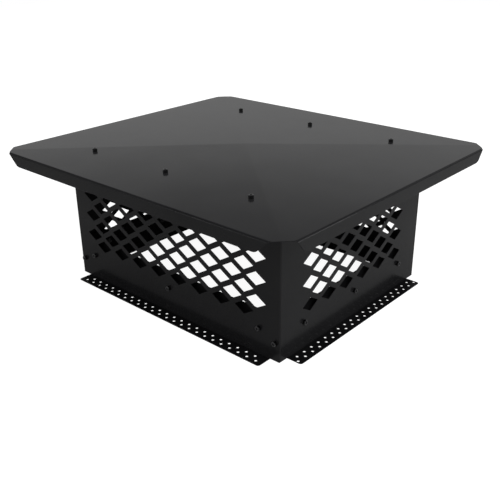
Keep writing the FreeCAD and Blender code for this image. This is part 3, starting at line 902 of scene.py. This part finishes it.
def make_world():
    """White to the camera, bands of light in reflections, and even dim light elsewhere."""
    world = bpy.data.worlds.new("studio")
    bpy.context.scene.world = world
    nodes = Nodes(world)
    path = nodes.add("ShaderNodeLightPath")
    place = nodes.add("ShaderNodeTexCoord")
    tilt = nodes.add("ShaderNodeMapping")
    tilt.inputs["Rotation"].default_value = (0, SKY_TILT, 0)
    nodes.link(place.outputs["Generated"], tilt.inputs["Vector"])
    parts = nodes.add("ShaderNodeSeparateXYZ")
    nodes.link(tilt.outputs["Vector"], parts.inputs["Vector"])
    studio = nodes.add("ShaderNodeValToRGB")
    nodes.link(parts.outputs["Z"], studio.inputs["Fac"])
    ramp = studio.color_ramp
    ramp.interpolation = "EASE"
    while len(ramp.elements) < len(SKY):
        ramp.elements.new(0.5)
    for stop, (height, tone) in zip(ramp.elements, SKY):
        stop.position = height
        stop.color = grey(tone)

    in_gloss = nodes.add("ShaderNodeMix", data_type="FLOAT")
    in_gloss.inputs["A"].default_value = AMBIENT
    nodes.link(seen_in_gloss(nodes, path), in_gloss.inputs["Factor"])
    nodes.link(studio.outputs["Color"], in_gloss.inputs["B"])
    seen = nodes.add("ShaderNodeMix", data_type="FLOAT")
    seen.inputs["B"].default_value = 1
    nodes.link(path.outputs["Is Camera Ray"], seen.inputs["Factor"])
    nodes.link(in_gloss.outputs["Result"], seen.inputs["A"])
    background = nodes.add("ShaderNodeBackground", Color=grey(1))
    nodes.link(seen.outputs["Result"], background.inputs["Strength"])
    nodes.finish(background.outputs["Background"], "ShaderNodeOutputWorld")


def make_lamp(name, place, width, watts, in_gloss):
    """A square soft light aimed at the object's middle, seen in reflections or not."""
    light = bpy.data.lights.new(name, "AREA")
    light.shape = "SQUARE"
    light.size = width
    light.energy = watts
    lamp = bpy.data.objects.new(name, light)
    lamp.visible_glossy = in_gloss
    aim = Vector((0, 0, LAMP_AIM)) - Vector(place)
    facing = aim.to_track_quat("-Z", "Y").to_matrix().to_4x4()
    lamp.matrix_world = Matrix.Translation(place) @ facing
    bpy.context.scene.collection.objects.link(lamp)


# Camera: where the photograph was taken from, as angles in degrees and lengths in metres
PHOTO_WIDTH = 500
FOCAL_PIXELS = 713.15
SENSOR = 36.0
CLIP_START = 0.01
CAMERA_TURN = 41.79
CAMERA_HEIGHT = 24.61
CAMERA_ROLL = -0.5613
CAMERA_DISTANCE = 1.1402
AIM_RIGHT = 0.0058
AIM_UP = 0.03745


def make_camera():
    """The photograph's viewpoint."""
    turn = math.radians(CAMERA_TURN)
    height = math.radians(CAMERA_HEIGHT)
    level = math.cos(height)
    back = Vector((math.sin(turn) * level, -math.cos(turn) * level, math.sin(height)))
    right = Vector((math.cos(turn), math.sin(turn), 0))
    up = back.cross(right)
    place = back * CAMERA_DISTANCE + right * AIM_RIGHT + up * AIM_UP
    facing = Matrix((right, up, back)).transposed().to_4x4()
    roll = Matrix.Rotation(math.radians(CAMERA_ROLL), 4, "Z")
    camera = bpy.data.cameras.new("photo_camera")
    camera.sensor_width = SENSOR
    camera.lens = FOCAL_PIXELS / PHOTO_WIDTH * SENSOR
    camera.clip_start = CLIP_START
    holder = bpy.data.objects.new("photo_camera", camera)
    holder.matrix_world = Matrix.Translation(place) @ facing @ roll
    bpy.context.scene.collection.objects.link(holder)
    bpy.context.scene.camera = holder


bpy.context.scene.view_settings.view_transform = "Standard"
make_camera()
make_world()
make_floor()
for lamp in LAMPS:
    make_lamp(*lamp)

hood_coat = powder_coat(
    "hood_coat", dark=(0.0050, 0.0050, 0.0053), light=(0.0068, 0.0068, 0.0072),
    smooth=0.15, rough=0.17, index=1.22)
# The walls' coat is the hood's black paint made a little lighter: painted light on the walls.
wall_coat_painted_light = powder_coat(
    "wall_coat_painted_light", dark=(0.0060, 0.0060, 0.0064), light=(0.0078, 0.0078, 0.0083),
    smooth=0.18, rough=0.22, index=1.23)
# The base angles' coat is the same black paint made about half as light: painted shade on the
# flanges and the collars.
base_coat = powder_coat(
    "base_coat", dark=(0.0026, 0.0026, 0.0028), light=(0.0040, 0.0040, 0.0043),
    smooth=0.34, rough=0.42, index=1.13)
screw_oxide = black_oxide(
    "screw_oxide", dark=(0.055, 0.055, 0.057), light=(0.11, 0.11, 0.113),
    smooth=0.2, rough=0.32)

all_walls = [Wall(*values) for values in WALLS]
make_hood(all_walls, hood_coat)
for each_wall in all_walls:
    make_screen(each_wall, wall_coat_painted_light)
    make_base_angle(each_wall, base_coat)
make_fasteners(all_walls, screw_oxide)
